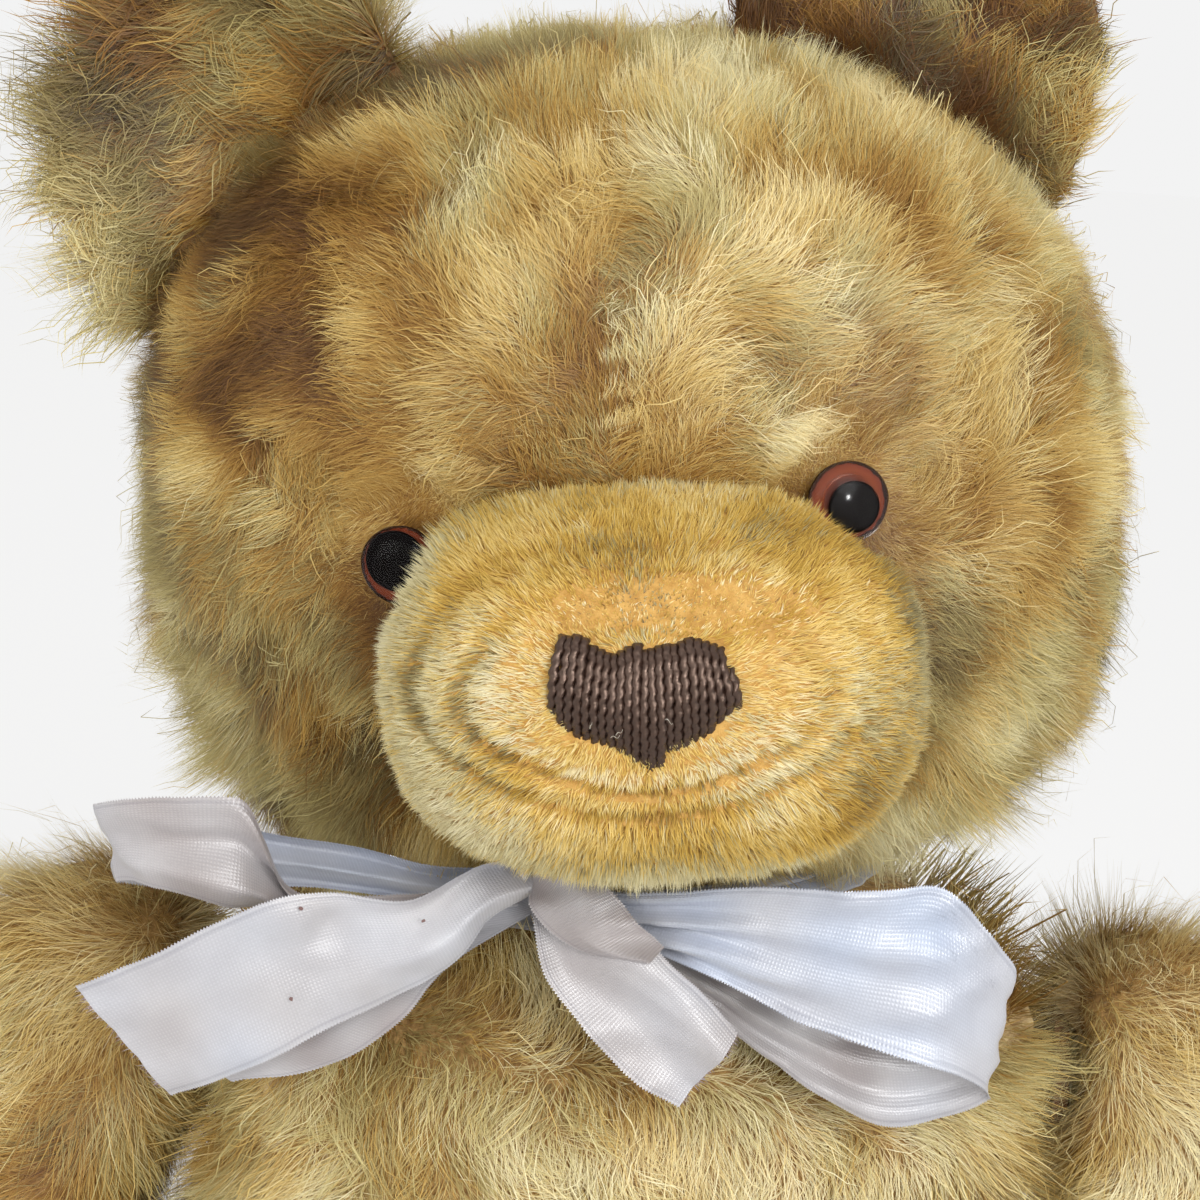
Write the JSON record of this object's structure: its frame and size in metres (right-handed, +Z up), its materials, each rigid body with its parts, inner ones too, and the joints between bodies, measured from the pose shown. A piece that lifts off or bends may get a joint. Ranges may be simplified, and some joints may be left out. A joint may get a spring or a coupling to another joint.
{
  "type": "teddy bear",
  "caption": "Sitting mohair teddy bear, worn and tufted, with disc-jointed head and limbs, short-piled muzzle, glass eyes, stitched nose and a satin neck ribbon.",
  "frame": {"origin": "centre of the flat seat the bear sits on", "axes": "+Z up the bear's back, the bear faces -Y, so its own left side is at +X"},
  "size_m": [0.3986, 0.2715, 0.437],
  "materials": {
    "mohair_plush": "worn curly mohair pile, tan with pale tips",
    "muzzle_plush": "short golden pile, worn at the nose",
    "wood_wool": "packed wood wool",
    "felt": "felt",
    "nose_thread": "twisted cotton thread in satin stitch",
    "satin_ribbon": "satin with picot edges",
    "eye_glass": "clear glass",
    "iris_enamel": "brown enamel behind glass",
    "pupil_enamel": "black enamel behind glass",
    "hardboard": "raw hardboard",
    "joint_steel": "plain steel"
  },
  "bodies": {
    "torso": {"torso_cover": "mohair_plush", "torso_stuffing": "wood_wool", "neck_ribbon": "satin_ribbon", "neck_disc_body": "hardboard", "neck_washer_body": "joint_steel", "shoulder_left_disc_body": "hardboard", "shoulder_left_washer_body": "joint_steel", "shoulder_right_disc_body": "hardboard", "shoulder_right_washer_body": "joint_steel", "hip_left_disc_body": "hardboard", "hip_left_washer_body": "joint_steel", "hip_right_disc_body": "hardboard", "hip_right_washer_body": "joint_steel"},
    "head": {"head_cover": "mohair_plush", "head_stuffing": "wood_wool", "muzzle_cover": "muzzle_plush", "ear_left": "mohair_plush", "ear_right": "mohair_plush", "eye_left_glass": "eye_glass", "eye_left_iris": "iris_enamel", "eye_left_pupil": "pupil_enamel", "eye_left_shank": "joint_steel", "eye_right_glass": "eye_glass", "eye_right_iris": "iris_enamel", "eye_right_pupil": "pupil_enamel", "eye_right_shank": "joint_steel", "nose_stitching": "nose_thread", "neck_disc_limb": "hardboard", "neck_washer_limb": "joint_steel", "neck_cotter_pin": "joint_steel"},
    "arm_left": {"arm_left_cover": "mohair_plush", "arm_left_stuffing": "wood_wool", "paw_pad_left": "felt", "shoulder_left_disc_limb": "hardboard", "shoulder_left_washer_limb": "joint_steel", "shoulder_left_cotter_pin": "joint_steel"},
    "arm_right": {"arm_right_cover": "mohair_plush", "arm_right_stuffing": "wood_wool", "paw_pad_right": "felt", "shoulder_right_disc_limb": "hardboard", "shoulder_right_washer_limb": "joint_steel", "shoulder_right_cotter_pin": "joint_steel"},
    "leg_left": {"leg_left_cover": "mohair_plush", "leg_left_stuffing": "wood_wool", "foot_pad_left": "felt", "hip_left_disc_limb": "hardboard", "hip_left_washer_limb": "joint_steel", "hip_left_cotter_pin": "joint_steel"},
    "leg_right": {"leg_right_cover": "mohair_plush", "leg_right_stuffing": "wood_wool", "foot_pad_right": "felt", "hip_right_disc_limb": "hardboard", "hip_right_washer_limb": "joint_steel", "hip_right_cotter_pin": "joint_steel"}
  },
  "joints": [
    {"name": "neck_swivel", "type": "hinge", "parent": "torso", "child": "head", "pos_m": [0, -0.008, 0.2434], "axis": [-0.1045, 0, 0.9945], "continuous": true, "deforming": ["neck_ribbon"]},
    {"name": "shoulder_left", "type": "hinge", "parent": "torso", "child": "arm_left", "pos_m": [0.084, -0.004, 0.19], "axis": [-1, 0, 0], "continuous": true},
    {"name": "shoulder_right", "type": "hinge", "parent": "torso", "child": "arm_right", "pos_m": [-0.084, -0.004, 0.19], "axis": [-1, 0, 0], "continuous": true},
    {"name": "hip_left", "type": "hinge", "parent": "torso", "child": "leg_left", "pos_m": [0.07, 0, 0.044], "axis": [1, 0, 0], "range_deg": [-20, 180]},
    {"name": "hip_right", "type": "hinge", "parent": "torso", "child": "leg_right", "pos_m": [-0.07, 0, 0.044], "axis": [1, 0, 0], "range_deg": [-20, 180]}
  ]
}
